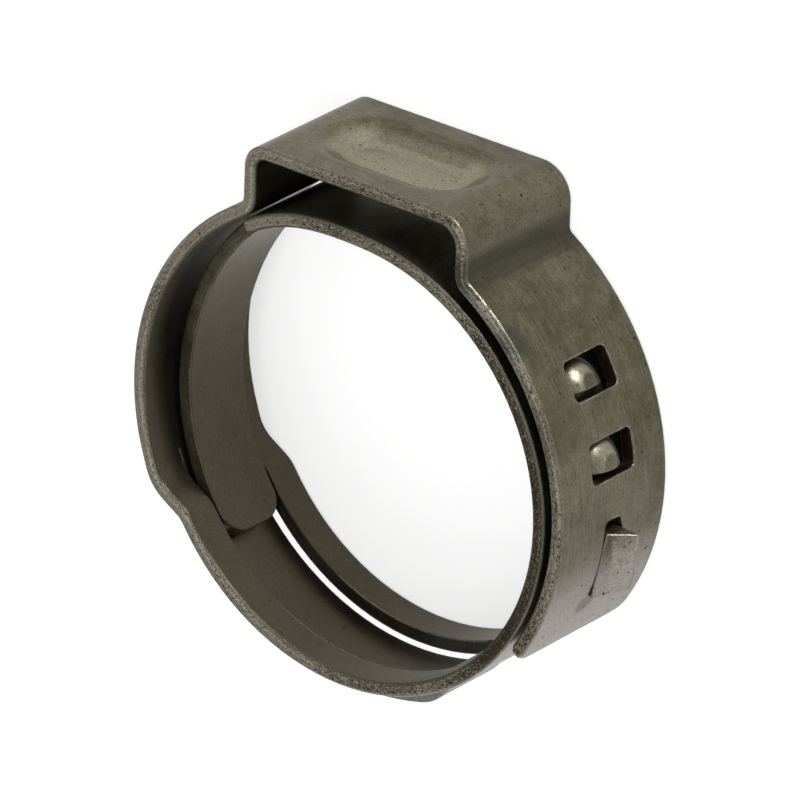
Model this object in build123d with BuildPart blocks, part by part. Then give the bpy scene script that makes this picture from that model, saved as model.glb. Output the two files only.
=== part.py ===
from build123d import *
from math import cos, radians, sin
import os

os.makedirs("parts", exist_ok=True)

# Single-ear hose clamp without a step in its bore, cut, pressed and rolled from one
# stainless strip.  The bore axis is +Z, the rear rim lies on z = 0 and the ear points
# along +Y.  Lengths are millimetres, angles are degrees round the bore from +X.

# The strip and the bore it closes on
band_width = 7.0
thickness = 0.6
bore_radius = 9.6
rim_chamfer = 0.15

# Room between the two layers, from the free end of the outer one round to its far side
gap_at_end = 0.15
gap_at_windows = 0.4
gap_right_of_ear = 0.6
gap_left_of_ear = 0.5
gap_on_left_side = 0.52
gap_over_step = 0.34
windows_middle_angle = 13.0
left_side_angle = 163.0
outer_end_angle = -34.5
outer_end_round = 0.7

# The ear: the span between its legs, the room under it, and its bends (inner radii)
ear_left = -5.12
ear_right = 5.2
ear_headroom = 1.7
left_top_bend = 0.5
right_top_bend = 0.85
left_root_bend = 1.05
right_root_bend = 0.95

# The long dimple pressed down into the ear's flat top, with sloping sides and soft
# bends.  Its margins are from where the flat ends at each top bend.
dimple_left_margin = 0.6
dimple_right_margin = 0.37
dimple_width = 4.5
dimple_depth = 0.7
dimple_wall_slope = 58
dimple_rim_bend = 0.7
dimple_floor_bend = 0.9

# The tongue at the end of the inner layer, and the channel over it
shoulder_angle = 122.0
shoulder_round = 0.8
tongue_width = 3.4
tongue_end_angle = 222.0
tongue_tip_round = 1.1
slit = 0.08
slits_start_angle = 198.0
step_start_angle = 203.0
step_end_angle = 211.7
step_bend = 1.6
gap_under_channel = 0.21
channel_end_angle = 289.0
channel_foot_angle = 298.0
slits_end_angle = 301.0

# Two windows in the outer layer, and the hooks of the inner layer inside them
window_angles = (31.0, 13.0)
window_length = 1.75
window_width = 2.75
window_corner = 0.3
hook_lag = 2.8
hook_length = 1.55
hook_half_width = 1.2
hook_height = 1.0
hook_wall = 0.45

# The rib that the inner layer pushes out through a tapered slot further down.  Across
# the strip it rises from a low front foot to a crest at its back, and it is narrow and
# high towards the ear, wide and low at its lanced end.  Front and back are from mid width.
rib_near_angle = -4.0
rib_far_angle = -20.2
rib_front = 0.38
rib_near_back = -0.56
rib_far_back = -1.65
rib_near_rise = 0.92
rib_far_rise = 0.48
rib_wall = 0.3
rib_end_wall_angle = 2.5
slot_near_room_angle = 3.4
slot_far_room_angle = 0.6
slot_clearance = 0.12
slot_corner = 0.25

# Sizes that follow from the ones above
over_inner_layer = bore_radius + thickness
end_radius = over_inner_layer + gap_at_end
windows_radius = over_inner_layer + gap_at_windows
right_root_radius = over_inner_layer + gap_right_of_ear
left_root_radius = over_inner_layer + gap_left_of_ear
left_side_radius = over_inner_layer + gap_on_left_side
step_radius = over_inner_layer + gap_over_step
channel_radius = over_inner_layer + gap_under_channel
ear_ceiling = over_inner_layer + ear_headroom
ear_top = ear_ceiling + thickness
dimple_start = ear_left + left_top_bend + dimple_left_margin
dimple_end = ear_right - right_top_bend - dimple_right_margin
dimple_length = dimple_end - dimple_start
dimple_x = (dimple_start + dimple_end) / 2
middle = band_width / 2
tongue_bottom = middle - tongue_width / 2
tongue_top = middle + tongue_width / 2
far = 3 * bore_radius


def ring_point(radius, angle):
    return (radius * cos(radians(angle)), radius * sin(radians(angle)))


def touching_plane(radius, angle):
    """Plane on the ring at mid width: x runs along the strip, z points outwards."""
    x, y = ring_point(radius, angle)
    along = (*ring_point(1, angle + 90), 0)
    outwards = (*ring_point(1, angle), 0)
    return Plane(origin=(x, y, middle), x_dir=along, z_dir=outwards)


def section_plane(radius, angle):
    """Plane across the strip at mid width: x is axial, y points outwards."""
    x, y = ring_point(radius, angle)
    along = (*ring_point(1, angle + 90), 0)
    return Plane(origin=(x, y, middle), x_dir=(0, 0, 1), z_dir=along)


def off_joint(edge, radius, angle):
    """True for an edge that isn't on the joint of two stretches of the strip."""
    x, y = ring_point(radius + thickness / 2, angle)
    c = edge.center()
    return (c.X - x) ** 2 + (c.Y - y) ** 2 > (thickness / 2) ** 2


# ---- Outer layer: from its free end, up over the ear and down the left side ----------
# Its inner face bounds this sector, and the sheet lies one thickness outside it.
root_y_right = (right_root_radius**2 - ear_right**2) ** 0.5
root_y_left = (left_root_radius**2 - ear_left**2) ** 0.5
with BuildSketch() as inside_outer_layer:
    with BuildLine():
        right_side = ThreePointArc(
            ring_point(end_radius, outer_end_angle),
            ring_point(windows_radius, windows_middle_angle),
            (ear_right, root_y_right),
        )
        ear = Polyline(
            right_side @ 1,
            (ear_right, ear_ceiling),
            (ear_left, ear_ceiling),
            (ear_left, root_y_left),
        )
        left_side = ThreePointArc(
            ear @ 1,
            ring_point(left_side_radius, left_side_angle),
            ring_point(step_radius, slits_start_angle),
        )
        Polyline(left_side @ 1, (0, 0), right_side @ 0)
    make_face()
    corners = inside_outer_layer.vertices()
    fillet(corners.sort_by_distance((ear_right, ear_ceiling))[0], right_top_bend)
    corners = inside_outer_layer.vertices()
    fillet(corners.sort_by_distance((ear_left, ear_ceiling))[0], left_top_bend)
    corners = inside_outer_layer.vertices()
    fillet(corners.sort_by_distance((ear_right, root_y_right))[0], right_root_bend)
    corners = inside_outer_layer.vertices()
    fillet(corners.sort_by_distance((ear_left, root_y_left))[0], left_root_bend)

with BuildSketch() as outer_layer_profile:
    add(inside_outer_layer.sketch)
    offset(amount=thickness, mode=Mode.REPLACE)
    add(inside_outer_layer.sketch, mode=Mode.SUBTRACT)
    with BuildLine():
        Polyline(
            (0, 0),
            ring_point(far, slits_start_angle),
            ring_point(far, 260),
            ring_point(far, outer_end_angle),
            close=True,
        )
    make_face(mode=Mode.SUBTRACT)

# The slot follows the rib's taper, with room at both ends of the rib.
rib_taper = (rib_near_back - rib_far_back) / (rib_near_angle - rib_far_angle)
slot_near_angle = rib_near_angle + slot_near_room_angle
slot_far_angle = rib_far_angle - slot_far_room_angle
slot_angle = (slot_near_angle + slot_far_angle) / 2
slot_reach = windows_radius * sin(radians((slot_near_angle - slot_far_angle) / 2))

with BuildPart() as outer_layer:
    add(outer_layer_profile.sketch)
    extrude(amount=band_width)

    # the corners of the free end are clipped round
    end_x, end_y = ring_point(end_radius + thickness / 2, outer_end_angle)
    end_edges = outer_layer.edges().filter_by(
        lambda e: abs(e.center().X - end_x) + abs(e.center().Y - end_y) < 0.05
        and abs(e.length - thickness) < 0.01
    )
    fillet(end_edges, outer_end_round)

    # both rims are broken
    rims = outer_layer.faces().sort_by(Axis.Z)
    rim_edges = (rims[0].edges() + rims[-1].edges()).filter_by(
        lambda e: off_joint(e, step_radius, slits_start_angle)
    )
    chamfer(rim_edges, rim_chamfer)

    # the dimple: metal pushed down below the ceiling, then the hollow above it
    with BuildSketch(Plane(origin=(dimple_x, ear_ceiling, middle), x_dir=(1, 0, 0), z_dir=(0, -1, 0))):
        SlotOverall(dimple_length - thickness / 2, dimple_width - thickness / 2)
    extrude(amount=dimple_depth, taper=dimple_wall_slope)
    with BuildSketch(Plane(origin=(dimple_x, ear_top, middle), x_dir=(1, 0, 0), z_dir=(0, -1, 0))):
        SlotOverall(dimple_length, dimple_width)
    extrude(amount=dimple_depth, taper=dimple_wall_slope, mode=Mode.SUBTRACT)
    dimple_floor = outer_layer.faces().filter_by(Axis.Y).filter_by(
        lambda f: abs(f.center().Y - (ear_top - dimple_depth)) < 0.01 and f.normal_at().Y > 0
    )
    fillet(dimple_floor.edges(), dimple_floor_bend)
    ear_top_face = outer_layer.faces().filter_by(Axis.Y).sort_by(Axis.Y)[-1]
    fillet(ear_top_face.inner_wires().edges(), dimple_rim_bend)

    # windows punched through, each with rounded corners
    for angle in window_angles:
        with BuildSketch(touching_plane(bore_radius, angle)):
            RectangleRounded(window_length, window_width, window_corner)
        extrude(amount=bore_radius, mode=Mode.SUBTRACT)

    # the tapered slot round the rib
    with BuildSketch(touching_plane(windows_radius, slot_angle)) as slot:
        with BuildLine():
            Polyline(
                (slot_reach, rib_front + slot_clearance),
                (slot_reach, rib_near_back - slot_clearance + rib_taper * slot_near_room_angle),
                (-slot_reach, rib_far_back - slot_clearance - rib_taper * slot_far_room_angle),
                (-slot_reach, rib_front + slot_clearance),
                close=True,
            )
        make_face()
        fillet(slot.vertices(), slot_corner)
    extrude(amount=bore_radius / 2, both=True, mode=Mode.SUBTRACT)

# ---- Side strips: the two edges of the sheet step down onto the bore -----------------
with BuildSketch() as inside_side_strips:
    with BuildLine():
        above = ThreePointArc(
            ring_point(step_radius, slits_start_angle),
            ring_point(step_radius, (slits_start_angle + step_start_angle) / 2),
            ring_point(step_radius, step_start_angle),
        )
        ramp = Line(above @ 1, ring_point(bore_radius, step_end_angle))
        below = ThreePointArc(
            ramp @ 1,
            ring_point(bore_radius, 260),
            ring_point(bore_radius, slits_end_angle),
        )
        Polyline(below @ 1, (0, 0), above @ 0)
    make_face()
    corners = inside_side_strips.vertices()
    fillet(corners.sort_by_distance(ramp @ 0)[0], step_bend)
    corners = inside_side_strips.vertices()
    fillet(corners.sort_by_distance(ramp @ 1)[0], step_bend)

with BuildSketch() as side_strip_profile:
    add(inside_side_strips.sketch)
    offset(amount=thickness, mode=Mode.REPLACE)
    add(inside_side_strips.sketch, mode=Mode.SUBTRACT)
    with BuildLine():
        Polyline(
            (0, 0),
            ring_point(far, slits_start_angle),
            ring_point(far, 255),
            ring_point(far, slits_end_angle),
            close=True,
        )
    make_face(mode=Mode.INTERSECT)

with BuildPart() as side_strips:
    add(side_strip_profile.sketch)
    extrude(amount=band_width)
    rims = side_strips.faces().sort_by(Axis.Z)
    rim_edges = (rims[0].edges() + rims[-1].edges()).filter_by(
        lambda e: off_joint(e, step_radius, slits_start_angle) and off_joint(e, bore_radius, slits_end_angle)
    )
    chamfer(rim_edges, rim_chamfer)
    with Locations((0, 0, middle)):
        Cylinder(far, tongue_width + 4 * slit, mode=Mode.SUBTRACT)

# ---- Channel: the middle of the sheet stays out over the tongue, then comes in -------
with BuildSketch() as inside_channel:
    with BuildLine():
        over_tongue = ThreePointArc(
            ring_point(step_radius, slits_start_angle),
            ring_point(channel_radius, 250),
            ring_point(channel_radius, channel_end_angle),
        )
        ramp = Line(over_tongue @ 1, ring_point(bore_radius, channel_foot_angle))
        beyond = ThreePointArc(
            ramp @ 1,
            ring_point(bore_radius, (channel_foot_angle + slits_end_angle) / 2),
            ring_point(bore_radius, slits_end_angle),
        )
        Polyline(beyond @ 1, (0, 0), over_tongue @ 0)
    make_face()
    corners = inside_channel.vertices()
    fillet(corners.sort_by_distance(ramp @ 0)[0], step_bend)
    corners = inside_channel.vertices()
    fillet(corners.sort_by_distance(ramp @ 1)[0], step_bend)

with BuildSketch() as channel_profile:
    add(inside_channel.sketch)
    offset(amount=thickness, mode=Mode.REPLACE)
    add(inside_channel.sketch, mode=Mode.SUBTRACT)
    with BuildLine():
        Polyline(
            (0, 0),
            ring_point(far, slits_start_angle),
            ring_point(far, 255),
            ring_point(far, slits_end_angle),
            close=True,
        )
    make_face(mode=Mode.INTERSECT)

with BuildPart() as channel:
    with BuildSketch(Plane.XY.offset(tongue_bottom - slit)):
        add(channel_profile.sketch)
    extrude(amount=tongue_width + 2 * slit)

# ---- Inner layer: full width under the free end and the ear, then the tongue ---------
with BuildSketch() as full_width_profile:
    Circle(over_inner_layer)
    Circle(bore_radius, mode=Mode.SUBTRACT)
    with BuildLine():
        Polyline(
            (0, 0),
            ring_point(far, shoulder_angle),
            ring_point(far, 180),
            ring_point(far, 250),
            ring_point(far, slits_end_angle),
            close=True,
        )
    make_face(mode=Mode.SUBTRACT)

with BuildSketch() as tongue_profile:
    Circle(over_inner_layer)
    Circle(bore_radius, mode=Mode.SUBTRACT)
    with BuildLine():
        Polyline(
            (0, 0),
            ring_point(far, shoulder_angle - 1),
            ring_point(far, 170),
            ring_point(far, tongue_end_angle),
            close=True,
        )
    make_face(mode=Mode.INTERSECT)

with BuildPart() as inner_layer:
    add(full_width_profile.sketch)
    extrude(amount=band_width)
    rims = inner_layer.faces().sort_by(Axis.Z)
    rim_edges = (rims[0].edges() + rims[-1].edges()).filter_by(
        lambda e: off_joint(e, bore_radius, slits_end_angle) and off_joint(e, bore_radius, shoulder_angle)
    )
    chamfer(rim_edges, rim_chamfer)
    with BuildSketch(Plane.XY.offset(tongue_bottom)):
        add(tongue_profile.sketch)
    extrude(amount=tongue_width)

    # the shoulders are filleted into the tongue, and its tip is rounded
    across_sheet = inner_layer.edges().filter_by(lambda e: abs(e.length - thickness) < 0.01)
    shoulder_x, shoulder_y = ring_point(bore_radius + thickness / 2, shoulder_angle)
    shoulders = across_sheet.filter_by(
        lambda e: abs(e.center().X - shoulder_x) + abs(e.center().Y - shoulder_y) < 0.05
    )
    fillet(shoulders, shoulder_round)
    across_sheet = inner_layer.edges().filter_by(lambda e: abs(e.length - thickness) < 0.01)
    tip_x, tip_y = ring_point(bore_radius + thickness / 2, tongue_end_angle)
    tip = across_sheet.filter_by(lambda e: abs(e.center().X - tip_x) + abs(e.center().Y - tip_y) < 0.05)
    fillet(tip, tongue_tip_round)

    # half-bullet hooks: lanced across at the end away from the ear, raised and hollow
    hook_axis_radius = over_inner_layer + hook_height - hook_half_width
    for angle in window_angles:
        lanced_face = touching_plane(hook_axis_radius, angle - hook_lag)
        with BuildSketch(lanced_face):
            with Locations((0, 0)):
                Ellipse(hook_length, hook_half_width)
            Rectangle(hook_length, hook_half_width, align=(Align.MIN, Align.MIN), mode=Mode.INTERSECT)
        revolve(axis=Axis(lanced_face.origin, lanced_face.x_dir), revolution_arc=180)
    for angle in window_angles:
        lanced_face = touching_plane(hook_axis_radius, angle - hook_lag)
        with BuildSketch(lanced_face):
            Ellipse(hook_length - hook_wall, hook_half_width - hook_wall)
            Rectangle(hook_length, hook_half_width, align=(Align.MIN, Align.MIN), mode=Mode.INTERSECT)
        revolve(axis=Axis(lanced_face.origin, lanced_face.x_dir), mode=Mode.SUBTRACT)

    # the rib, and the hollow under it, open to the bore and at the lanced end
    rib_foot = 2 * thickness + gap_at_windows - 0.05
    with BuildSketch(section_plane(bore_radius, rib_near_angle)):
        with BuildLine():
            Polyline(
                (rib_front, thickness / 2),
                (rib_front, rib_foot),
                (rib_near_back, rib_foot + rib_near_rise),
                (rib_near_back, thickness / 2),
                close=True,
            )
        make_face()
    with BuildSketch(section_plane(bore_radius, rib_far_angle)):
        with BuildLine():
            Polyline(
                (rib_front, thickness / 2),
                (rib_front, rib_foot),
                (rib_far_back, rib_foot + rib_far_rise),
                (rib_far_back, thickness / 2),
                close=True,
            )
        make_face()
    loft()
    with BuildSketch(section_plane(bore_radius, rib_near_angle - rib_end_wall_angle)):
        with BuildLine():
            Polyline(
                (rib_front - rib_wall, -thickness),
                (rib_front - rib_wall, rib_foot - rib_wall),
                (rib_near_back + rib_wall, rib_foot + rib_near_rise / 2 - rib_wall),
                (rib_near_back + rib_wall, -thickness),
                close=True,
            )
        make_face()
    with BuildSketch(section_plane(bore_radius, rib_far_angle - 0.1)):
        with BuildLine():
            Polyline(
                (rib_front - rib_wall, -thickness),
                (rib_front - rib_wall, rib_foot - rib_wall),
                (rib_far_back + rib_wall, rib_foot + rib_far_rise / 2 - rib_wall),
                (rib_far_back + rib_wall, -thickness),
                close=True,
            )
        make_face()
    loft(mode=Mode.SUBTRACT)

# ---- The whole strip -------------------------------------------------------------------
with BuildPart() as clamp_band:
    add(outer_layer.part)
    add(side_strips.part)
    add(channel.part)
    add(inner_layer.part)

clamp_band.part.label = "clamp_band"
export_step(clamp_band.part, "parts/clamp_band.step")
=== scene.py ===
import bpy
import bmesh
import math
from mathutils import Matrix, Vector


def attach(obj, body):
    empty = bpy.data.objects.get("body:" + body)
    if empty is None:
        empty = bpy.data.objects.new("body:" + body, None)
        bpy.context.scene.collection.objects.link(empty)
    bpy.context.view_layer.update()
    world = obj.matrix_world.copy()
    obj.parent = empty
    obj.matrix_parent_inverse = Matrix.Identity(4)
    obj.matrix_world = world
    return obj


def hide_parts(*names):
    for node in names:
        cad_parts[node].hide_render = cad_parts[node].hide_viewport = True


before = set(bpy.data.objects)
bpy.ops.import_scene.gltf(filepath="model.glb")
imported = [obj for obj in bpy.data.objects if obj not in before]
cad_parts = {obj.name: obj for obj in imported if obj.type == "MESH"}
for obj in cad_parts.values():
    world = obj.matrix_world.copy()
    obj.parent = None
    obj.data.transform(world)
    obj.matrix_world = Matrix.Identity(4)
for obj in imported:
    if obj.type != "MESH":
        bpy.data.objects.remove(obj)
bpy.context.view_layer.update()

# ---- The band ---------------------------------------------------------------------------
# One strip of stainless steel, sheared from sheet, pressed and rolled into a ring whose ends
# overlap. Nothing is joined: the inner layer's tongue runs in the outer layer's channel.
MM = 0.001
BORE = 9.6 * MM
THICKNESS = 0.6 * MM

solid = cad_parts["clamp_band"]
band = bpy.data.objects.new("band", solid.data.copy())
bpy.context.scene.collection.objects.link(band)

# ---- The sprung end of the inner layer --------------------------------------------------
# Under the ear's left root the end of the inner layer's full width has sprung outwards, almost
# onto the outer layer. The solid keeps it on the bore's circle, so the copy is bent here.
SPRUNG_BY = 0.42 * MM
SPRUNG_FROM, SPRUNG_AT, SPRUNG_TO = math.radians(86), math.radians(119), math.radians(168)
INNER_LAYER = BORE + THICKNESS + 0.15 * MM
SAME_POINT = 0.0001 * MM


def spring(point):
    """How far the inner layer stands out at a point, and how fast that grows with the angle."""
    angle = math.atan2(point.y, point.x)
    start = SPRUNG_FROM if angle < SPRUNG_AT else SPRUNG_TO
    share = (angle - start) / (SPRUNG_AT - start)
    if not 0.0 < share < 1.0:
        return 0.0, 0.0
    rise = SPRUNG_BY * math.sin(share * math.pi / 2) ** 2
    growth = SPRUNG_BY * math.sin(share * math.pi) * math.pi / 2 / (SPRUNG_AT - start)
    return rise, growth


# the normals turn with the sheet, and are kept through the merging of its loose triangles
sheet = band.data
kept = sheet.attributes.new("kept_normal", "FLOAT_VECTOR", "CORNER")
for loop, corner in zip(sheet.loops, sheet.corner_normals):
    normal = Vector(corner.vector)
    point = sheet.vertices[loop.vertex_index].co
    if point.xy.length < INNER_LAYER:
        normal.rotate(Matrix.Rotation(-spring(point)[1] / point.xy.length, 3, "Z"))
    kept.data[loop.index].vector = normal
for vertex in sheet.vertices:
    if vertex.co.xy.length < INNER_LAYER:
        vertex.co.xy *= 1.0 + spring(vertex.co)[0] / vertex.co.xy.length
merged = bmesh.new()
merged.from_mesh(sheet)
bmesh.ops.remove_doubles(merged, verts=merged.verts, dist=SAME_POINT)
merged.to_mesh(sheet)
merged.free()
for face in sheet.polygons:
    face.use_smooth = True
kept = sheet.attributes["kept_normal"]
sheet.normals_split_custom_set([corner.vector.copy() for corner in kept.data])
sheet.attributes.remove(kept)

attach(band, "root")
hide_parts("clamp_band")

# ---- The steel --------------------------------------------------------------------------
# The strip's finish: dull olive-grey stainless steel that has been handled, with the grain of
# the rolling mill round the ring, and one material for the faces, the rims and the pressings.


class Wiring:
    """The nodes of one shader tree, and how they are joined."""

    def __init__(self, tree):
        self.tree = tree

    def join(self, socket, value):
        if isinstance(value, bpy.types.NodeSocket):
            self.tree.links.new(value, socket)
        else:
            socket.default_value = value

    def node(self, kind, values, **settings):
        node = self.tree.nodes.new("ShaderNode" + kind)
        for name, setting in settings.items():
            setattr(node, name, setting)
        for name, value in values.items():
            self.join(node.inputs[name], value)
        return node

    def maths(self, operation, *values, clamp=False):
        values = dict(enumerate(values))
        return self.node("Math", values, operation=operation, use_clamp=clamp).outputs[0]

    def times(self, first, *others):
        for other in others:
            first = self.maths("MULTIPLY", first, other)
        return first

    def plus(self, first, second, clamp=False):
        return self.maths("ADD", first, second, clamp=clamp)

    def less(self, first, second, clamp=False):
        return self.maths("SUBTRACT", first, second, clamp=clamp)

    def vector_maths(self, operation, first, second=(0.0, 0.0, 0.0)):
        return self.node("VectorMath", {0: first, 1: second}, operation=operation).outputs

    def ramp(self, value, low, high, at_low=0.0, at_high=1.0):
        values = {"Value": value, "From Min": low, "From Max": high, "To Min": at_low, "To Max": at_high}
        return self.node("MapRange", values, interpolation_type="SMOOTHSTEP").outputs["Result"]

    def noise(self, vector, scale, detail, roughness=0.5):
        values = {"Vector": vector, "Scale": scale, "Detail": detail, "Roughness": roughness}
        return self.node("TexNoise", values).outputs["Fac"]

    def stretched(self, vector, scale):
        return self.node("Mapping", {"Vector": vector, "Scale": scale}).outputs[0]

    def painted(self, colour, amount, *paint):
        values = {"Factor": amount, "A": colour, "B": (*paint, 1.0)}
        return self.node("Mix", values, data_type="RGBA").outputs["Result"]

    def use(self, group, **values):
        values = {name.replace("_", " "): value for name, value in values.items()}
        return self.node("Group", values, node_tree=group.tree).outputs


def effect(name, inputs, outputs):
    """A shader node group: its wiring, what it is given and where its results go."""
    tree = bpy.data.node_groups.new(name, "ShaderNodeTree")
    for label, kind in inputs.items():
        tree.interface.new_socket(label, in_out="INPUT", socket_type="NodeSocket" + kind)
    for label, kind in outputs.items():
        tree.interface.new_socket(label, in_out="OUTPUT", socket_type="NodeSocket" + kind)
    given = tree.nodes.new("NodeGroupInput").outputs
    return Wiring(tree), given, tree.nodes.new("NodeGroupOutput").inputs


# where a point lies on the rolled strip, in millimetres along, across and through it
unrolled, given, result = effect(
    "unrolled", {"Position": "Vector"}, {"Strip": "Vector", "Radius": "Float"}
)
x, y, z = unrolled.node("SeparateXYZ", {0: given["Position"]}).outputs
squares = unrolled.plus(unrolled.times(x, x), unrolled.times(y, y))
radius = unrolled.maths("SQRT", squares)
along = unrolled.times(unrolled.maths("ARCTAN2", y, x), BORE / MM)
across, through = unrolled.times(z, 1 / MM), unrolled.times(radius, 1 / MM)
strip_place = unrolled.node("CombineXYZ", {0: along, 1: across, 2: through}).outputs[0]
unrolled.join(result["Strip"], strip_place)
unrolled.join(result["Radius"], radius)

# specks of dirt: a share of the cells of a pattern, more of them in some places than others
SPECK_PATCHES = 260.0
specks, given, result = effect(
    "specks",
    {"Position": "Vector", "Per Metre": "Float", "Size": "Float", "Share": "Float"},
    {"Mask": "Float"},
)
cells = specks.node("TexVoronoi", {"Vector": given["Position"], "Scale": given["Per Metre"]}).outputs
chance, bulk, _ = specks.node("SeparateColor", {0: cells["Color"]}).outputs
patches = specks.noise(given["Position"], SPECK_PATCHES, 2.0)
share = specks.times(given["Share"], specks.ramp(patches, 0.38, 0.66, 0.15, 1.9))
chosen = specks.maths("LESS_THAN", chance, share)
size = specks.times(given["Size"], specks.plus(bulk, 0.35))
spot = specks.maths("LESS_THAN", cells["Distance"], size)
specks.join(result["Mask"], specks.times(chosen, spot))

# a patch that spreads from one place and breaks up at its edge: used for stains and rust, and for
# painted highlights and painted shade
PATCH_EDGE_BREAKS = 1500.0
stain_and_painted_light, given, result = effect(
    "stain_and_painted_light", {"Position": "Vector", "Centre": "Vector", "Reach": "Float"}, {"Mask": "Float"}
)
away = stain_and_painted_light.vector_maths("DISTANCE", given["Position"], given["Centre"])["Value"]
near = stain_and_painted_light.less(1.0, stain_and_painted_light.maths("DIVIDE", away, given["Reach"]), clamp=True)
broken = stain_and_painted_light.noise(given["Position"], PATCH_EDGE_BREAKS, 5.0, 0.7)
stain_and_painted_light.join(result["Mask"], stain_and_painted_light.ramp(stain_and_painted_light.plus(near, broken), 0.72, 1.15))

# corners painted bright, part rubbing wear and part painted highlight: where the rounded normal leaves
# the face's own
edge_wear_and_glint, given, result = effect(
    "edge_wear_and_glint", {"Face Normal": "Vector", "Round Normal": "Vector"}, {"Mask": "Float"}
)
agree = edge_wear_and_glint.vector_maths("DOT_PRODUCT", given["Face Normal"], given["Round Normal"])["Value"]
edge_wear_and_glint.join(result["Mask"], edge_wear_and_glint.ramp(agree, 0.90, 0.995, 1.0, 0.0))

steel = bpy.data.materials.new("stainless_strip")
steel.use_nodes = True
surface = steel.node_tree.nodes["Principled BSDF"]
metal = Wiring(steel.node_tree)
place = metal.node("TexCoord", {}).outputs["Object"]
place_x, place_y, place_z = metal.node("SeparateXYZ", {0: place}).outputs
strip, radius = metal.use(unrolled, Position=place)
geometry = metal.node("NewGeometry", {}).outputs
outwards = metal.vector_maths("MULTIPLY", place, (1.0, 1.0, 0.0))["Vector"]
outwards = metal.vector_maths("NORMALIZE", outwards)["Vector"]
facing = metal.vector_maths("DOT_PRODUCT", outwards, geometry["True Normal"])["Value"]

# ---- The rolled faces -------------------------------------------------------------------
# Mill-finished sheet, olive-grey and mottled, with fine light and dark scratches that follow the strip.
# The faces that look into the bore are darker and browner.
grain = metal.noise(metal.stretched(strip, (0.35, 9.0, 9.0)), 1.6, 6.0, 0.62)
drift = metal.noise(place, 190.0, 3.0, 0.55)
mottle = metal.noise(place, 1300.0, 5.0, 0.72)
grit = metal.noise(place, 9000.0, 3.0, 0.6)
tone = metal.plus(metal.times(drift, 0.5), metal.times(mottle, 0.5))
colour = metal.painted((0.070, 0.064, 0.036, 1.0), metal.ramp(tone, 0.36, 0.64), 0.140, 0.129, 0.087)
light_scratches = metal.times(metal.ramp(grain, 0.50, 0.68), 0.40)
dark_scratches = metal.times(metal.ramp(grain, 0.46, 0.34), 0.35)
colour = metal.painted(colour, light_scratches, 0.205, 0.190, 0.150)
colour = metal.painted(colour, dark_scratches, 0.055, 0.048, 0.030)
inside = metal.ramp(facing, -0.55, -0.25, 1.0, 0.0)

# ---- The dimple in the ear --------------------------------------------------------------
# Pressed into the ear's top by a round-ended punch. Its floor is painted paler, a painted sheen, which
# comes in with the depth below the ear's top.
EAR_TOP = 12.5 * MM
DIMPLE_HALF_LENGTH = 4.2 * MM
EAR_INSIDE = 11.1 * MM
depth = metal.ramp(place_y, EAR_TOP - 0.02 * MM, EAR_TOP - 0.45 * MM)
in_length = metal.ramp(
    metal.maths("ABSOLUTE", place_x), DIMPLE_HALF_LENGTH - 0.3 * MM, DIMPLE_HALF_LENGTH, 1.0, 0.0
)
in_ear = metal.ramp(place_y, EAR_INSIDE - 0.1 * MM, EAR_INSIDE + 0.1 * MM)
dimple_sheen = metal.times(depth, metal.times(in_length, in_ear))
colour = metal.painted(colour, metal.times(dimple_sheen, 0.75), 0.29, 0.265, 0.185)

# ---- The free end -----------------------------------------------------------------------
# The clipped outer end, greyer and paler the nearer it is to the cut: a painted highlight. The line
# along which that is measured points from the bore's middle a little past it.
TOWARDS_FREE_END = (0.62, -0.78, 0.0)
reach = metal.vector_maths("DOT_PRODUCT", place, TOWARDS_FREE_END)["Value"]
reach = metal.plus(reach, metal.times(drift, 2.0 * MM))
free_end_highlight = metal.times(metal.ramp(reach, 8.4 * MM, 10.6 * MM), metal.less(1.0, inside))
free_end_highlight = metal.maths("MULTIPLY", free_end_highlight, metal.plus(0.7, metal.times(mottle, 0.5)), clamp=True)
colour = metal.painted(colour, free_end_highlight, 0.27, 0.25, 0.23)
colour = metal.painted(colour, metal.times(inside, 0.8), 0.060, 0.050, 0.033)

# ---- The sheared rims -------------------------------------------------------------------
# The strip's two long edges, left as the shears cut them: paler than the faces and pitted.
# Grime has settled in the seam beside the windows, and the other side of the ring is cleaner.
WIDTH = 7.0 * MM
RIM_INNER, RIM_OUTER = WIDTH / 2 - 0.16 * MM, WIDTH / 2 - 0.03 * MM
from_middle = metal.maths("ABSOLUTE", metal.less(place_z, WIDTH / 2))
rim = metal.ramp(from_middle, RIM_INNER, RIM_OUTER)
pits = metal.noise(metal.stretched(strip, (4.5, 1.0, 11.0)), 1.9, 6.0, 0.78)
inner_rim = metal.ramp(radius, BORE + 0.55 * MM, BORE + 0.7 * MM, 1.0, 0.0)
seam = metal.times(inner_rim, metal.ramp(place_x, 4.5 * MM, 8.0 * MM))
pits = metal.plus(pits, metal.times(seam, 0.09))
pits = metal.plus(pits, metal.times(metal.less(drift, 0.5), 0.25))
pits = metal.less(pits, metal.ramp(place_x, 2.0 * MM, -6.0 * MM, 0.0, 0.055))
colour = metal.painted(colour, rim, 0.285, 0.255, 0.195)
pitted = metal.times(rim, metal.ramp(pits, 0.45, 0.55))
colour = metal.painted(colour, pitted, 0.032, 0.021, 0.011)

# ---- The rib ----------------------------------------------------------------------------
# Lanced and pushed up through the tapered slot in the outer layer. Its sloping face stands proud of the
# ring and is painted pale, a painted highlight, with dark mottles left in it.
RIB_CENTRE = (11.25 * MM, -2.2 * MM, 2.9 * MM)
rib_highlight = metal.use(stain_and_painted_light, Position=place, Centre=RIB_CENTRE, Reach=3.1 * MM)["Mask"]
rib_highlight = metal.times(rib_highlight, metal.ramp(radius, 11.22 * MM, 11.32 * MM))
rib_highlight = metal.times(rib_highlight, metal.ramp(mottle, 0.66, 0.42))
colour = metal.painted(colour, rib_highlight, 0.30, 0.28, 0.245)
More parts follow.
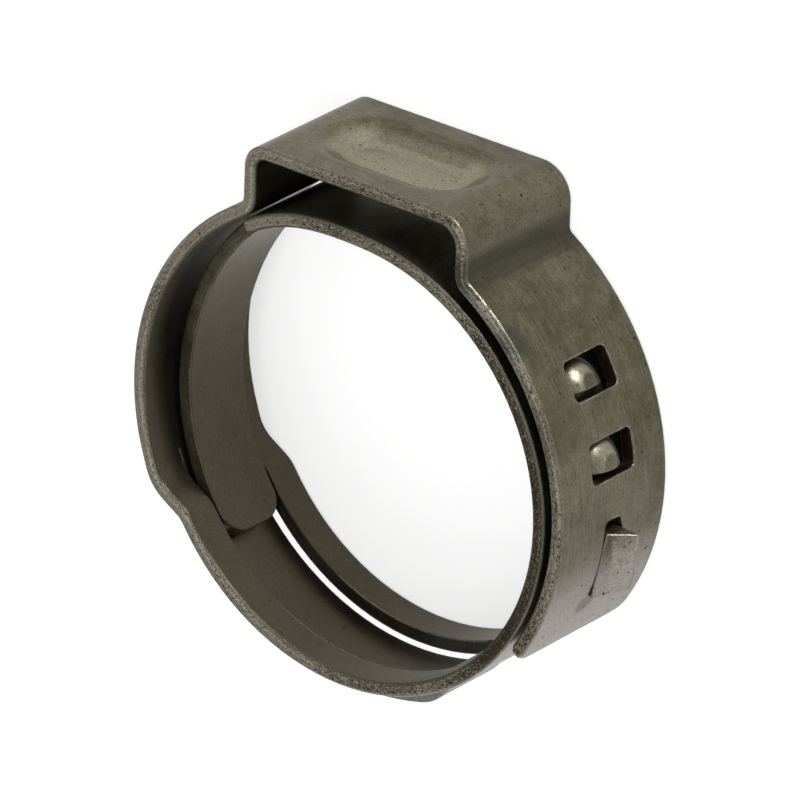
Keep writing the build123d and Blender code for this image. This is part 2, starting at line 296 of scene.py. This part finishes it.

# ---- The windows, the slot and the hooks ------------------------------------------------
# Holes punched through the outer layer, whose walls have rusted dark brown. The hooks lanced from the
# inner layer stand in the windows, and their outward faces are painted paler, a painted sheen.
wall = metal.ramp(metal.maths("ABSOLUTE", facing), 0.35, 0.75, 0.95, 0.08)
for hole_centre, rust_reach in (
    ((9.35 * MM, 5.62 * MM, 3.5 * MM), 3.2 * MM),
    ((10.62 * MM, 2.45 * MM, 3.5 * MM), 3.2 * MM),
    ((11.0 * MM, -4.0 * MM, 4.5 * MM), 2.0 * MM),
):
    rust = metal.use(stain_and_painted_light, Position=place, Centre=hole_centre, Reach=rust_reach)["Mask"]
    colour = metal.painted(colour, metal.times(rust, wall), 0.040, 0.021, 0.009)

above_inner_layer = metal.ramp(radius, 10.22 * MM, 10.32 * MM)
below_outer_face = metal.ramp(radius, 11.13 * MM, 11.08 * MM)
by_the_windows = metal.times(
    metal.ramp(place_x, 7.5 * MM, 8.0 * MM), metal.ramp(place_y, 0.3 * MM, 0.8 * MM)
)
hook_sheen = metal.times(above_inner_layer, below_outer_face, by_the_windows, metal.ramp(facing, 0.45, 0.70))
colour = metal.painted(colour, metal.times(hook_sheen, 0.8), 0.27, 0.255, 0.185)

# ---- Dirt, wear and painted light -------------------------------------------------------
# Smears by the front rim, beside the windows and under the rib, painted shade in the hollow along the
# ear's right root, specks and grit all over, and corners painted bright, part rubbing wear and part
# painted highlight.
flattened = metal.vector_maths("MULTIPLY", place, (1.0, 1.0, 0.04))["Vector"]
for where, centre, reach, strength, paint in (
    (place, (8.0 * MM, 7.7 * MM, 6.7 * MM), 1.1 * MM, 0.70, (0.036, 0.041, 0.038)),
    (place, (10.1 * MM, 4.4 * MM, 6.4 * MM), 2.4 * MM, 0.45, (0.070, 0.052, 0.032)),
    (place, (10.25 * MM, -4.1 * MM, 4.0 * MM), 0.8 * MM, 0.70, (0.075, 0.045, 0.024)),
    # painted shade in the hollow along the ear's right root
    (flattened, (5.75 * MM, 10.0 * MM, 0.1 * MM), 1.4 * MM, 0.80, (0.036, 0.034, 0.022)),
):
    smear_and_shade = metal.use(stain_and_painted_light, Position=where, Centre=centre, Reach=reach)["Mask"]
    colour = metal.painted(colour, metal.times(smear_and_shade, strength), *paint)

coarse = metal.use(specks, Position=place, Per_Metre=1700.0, Size=0.14, Share=0.10)["Mask"]
dust = metal.use(specks, Position=place, Per_Metre=4200.0, Size=0.26, Share=0.16)["Mask"]
dirt = metal.maths("MAXIMUM", coarse, metal.times(dust, 0.6))
dirt = metal.times(dirt, metal.less(1.0, metal.times(inside, 0.7)))
colour = metal.painted(colour, dirt, 0.022, 0.015, 0.009)

# edges are painted bright, part rubbing wear and part painted highlight, except on the tongue, which
# lies deep in the ring
EDGE_RADIUS = 0.13 * MM
rounded = metal.node("Bevel", {"Radius": EDGE_RADIUS}, samples=5).outputs["Normal"]
rubbed_and_glinting = metal.use(edge_wear_and_glint, Face_Normal=geometry["Normal"], Round_Normal=rounded)["Mask"]
rubbed_and_glinting = metal.times(rubbed_and_glinting, metal.ramp(pits, 0.62, 0.44))
tongue = metal.times(
    metal.ramp(place_x, -3.5 * MM, -5.0 * MM), metal.ramp(radius, BORE + 1.05 * MM, BORE + 0.95 * MM)
)
tongue_faces = metal.times(tongue, metal.less(1.0, rim))
rubbed_and_glinting = metal.times(rubbed_and_glinting, metal.less(1.0, tongue_faces, clamp=True))
colour = metal.painted(colour, metal.times(rubbed_and_glinting, 0.8), 0.42, 0.40, 0.34)
colour = metal.painted(colour, metal.ramp(grit, 0.38, 0.62, 0.30, 0.0), 0.030, 0.026, 0.016)
metal.join(surface.inputs["Base Color"], colour)

# ---- How the steel shines ---------------------------------------------------------------
# Duller where it is dirty and on the rims, smoother in the dimple, with the grain, the pits
# and the specks in relief on edges that are rounded, not sharp.
surface.inputs["Metallic"].default_value = 0.85
surface.inputs["Specular Tint"].default_value = (0.88, 0.86, 0.82, 1.0)
rough = metal.ramp(tone, 0.3, 0.7, 0.26, 0.37)
rough = metal.less(rough, metal.times(dimple_sheen, 0.07))
rough = metal.plus(rough, metal.times(dirt, 0.4))
rough = metal.plus(rough, metal.times(rim, 0.15), clamp=True)
metal.join(surface.inputs["Roughness"], rough)

relief = metal.times(grain, 0.25)
for pattern, height in ((mottle, 0.35), (pitted, -1.2), (dirt, 0.6), (grit, 0.3)):
    relief = metal.plus(relief, metal.times(pattern, height))
bumps = {"Strength": 0.5, "Distance": 0.03 * MM, "Height": relief, "Normal": rounded}
metal.join(surface.inputs["Normal"], metal.node("Bump", bumps).outputs["Normal"])
sheet.materials.clear()
sheet.materials.append(steel)

# ---- The table --------------------------------------------------------------------------
# Matt white paper, on which the clamp lies on its rear rim. It is as white as paper in strong
# light wherever it is seen, directly or in the steel, and keeps the clamp's soft shadow.
TABLE_SIZE = 3.0
PAPER_GLOW = 0.62
bpy.ops.mesh.primitive_plane_add(size=TABLE_SIZE, location=(0, 0, 0))
floor = bpy.context.object
floor.name = "floor"
paper = bpy.data.materials.new("paper")
paper.use_nodes = True
paper_wiring = Wiring(paper.node_tree)
paper_surface = paper.node_tree.nodes["Principled BSDF"].inputs
paper_surface["Base Color"].default_value = (0.6, 0.6, 0.6, 1.0)
paper_surface["Roughness"].default_value = 0.95
paper_surface["Emission Color"].default_value = (1.0, 1.0, 1.0, 1.0)
ray = paper_wiring.node("LightPath", {}).outputs
seen = paper_wiring.maths("MAXIMUM", ray["Is Camera Ray"], ray["Is Glossy Ray"])
seen = paper_wiring.maths("MAXIMUM", seen, ray["Is Transmission Ray"])
paper_wiring.join(paper_surface["Emission Strength"], paper_wiring.times(seen, PAPER_GLOW))
floor.data.materials.append(paper)

# ---- The light --------------------------------------------------------------------------
# A pale sky all round and three soft boxes: one by the camera, a bright low one behind the
# ear, which makes the glints in the dimple and on the hooks, and one over the free end.
world = bpy.data.worlds.new("world")
bpy.context.scene.world = world
world.use_nodes = True
sky = world.node_tree.nodes["Background"].inputs
sky["Color"].default_value = (1.0, 1.0, 1.0, 1.0)
sky["Strength"].default_value = 0.6


def soft_box(name, where, size, watts):
    light = bpy.data.lights.new(name, "AREA")
    light.shape = "RECTANGLE"
    light.size, light.size_y = size
    light.energy = watts
    lamp = bpy.data.objects.new(name, light)
    lamp.location = where
    lamp.rotation_euler = (-Vector(where)).to_track_quat("-Z", "Y").to_euler()
    bpy.context.scene.collection.objects.link(lamp)


soft_box("by_the_camera", (0.16, 0.02, 0.38), (0.16, 0.16), 0.3)
soft_box("behind_the_ear", (0.16, 0.30, 0.06), (0.10, 0.07), 0.9)
soft_box("over_the_free_end", (0.02, -0.22, 0.22), (0.2, 0.2), 0.2)

# ---- The camera -------------------------------------------------------------------------
# A long lens half a metre away, which looks down on the clamp from between ear and windows.
camera_data = bpy.data.cameras.new("camera")
camera_data.sensor_width = 36
camera_data.lens = 540
camera_data.clip_start = 0.05
camera_data.clip_end = 10
camera = bpy.data.objects.new("camera", camera_data)
camera.location = (0.270944, 0.211455, 0.351632)
camera.rotation_euler = (math.radians(-24.08903), math.radians(38.68529), math.radians(2.19497))
bpy.context.scene.collection.objects.link(camera)
bpy.context.scene.camera = camera
bpy.context.scene.view_settings.view_transform = "Standard"
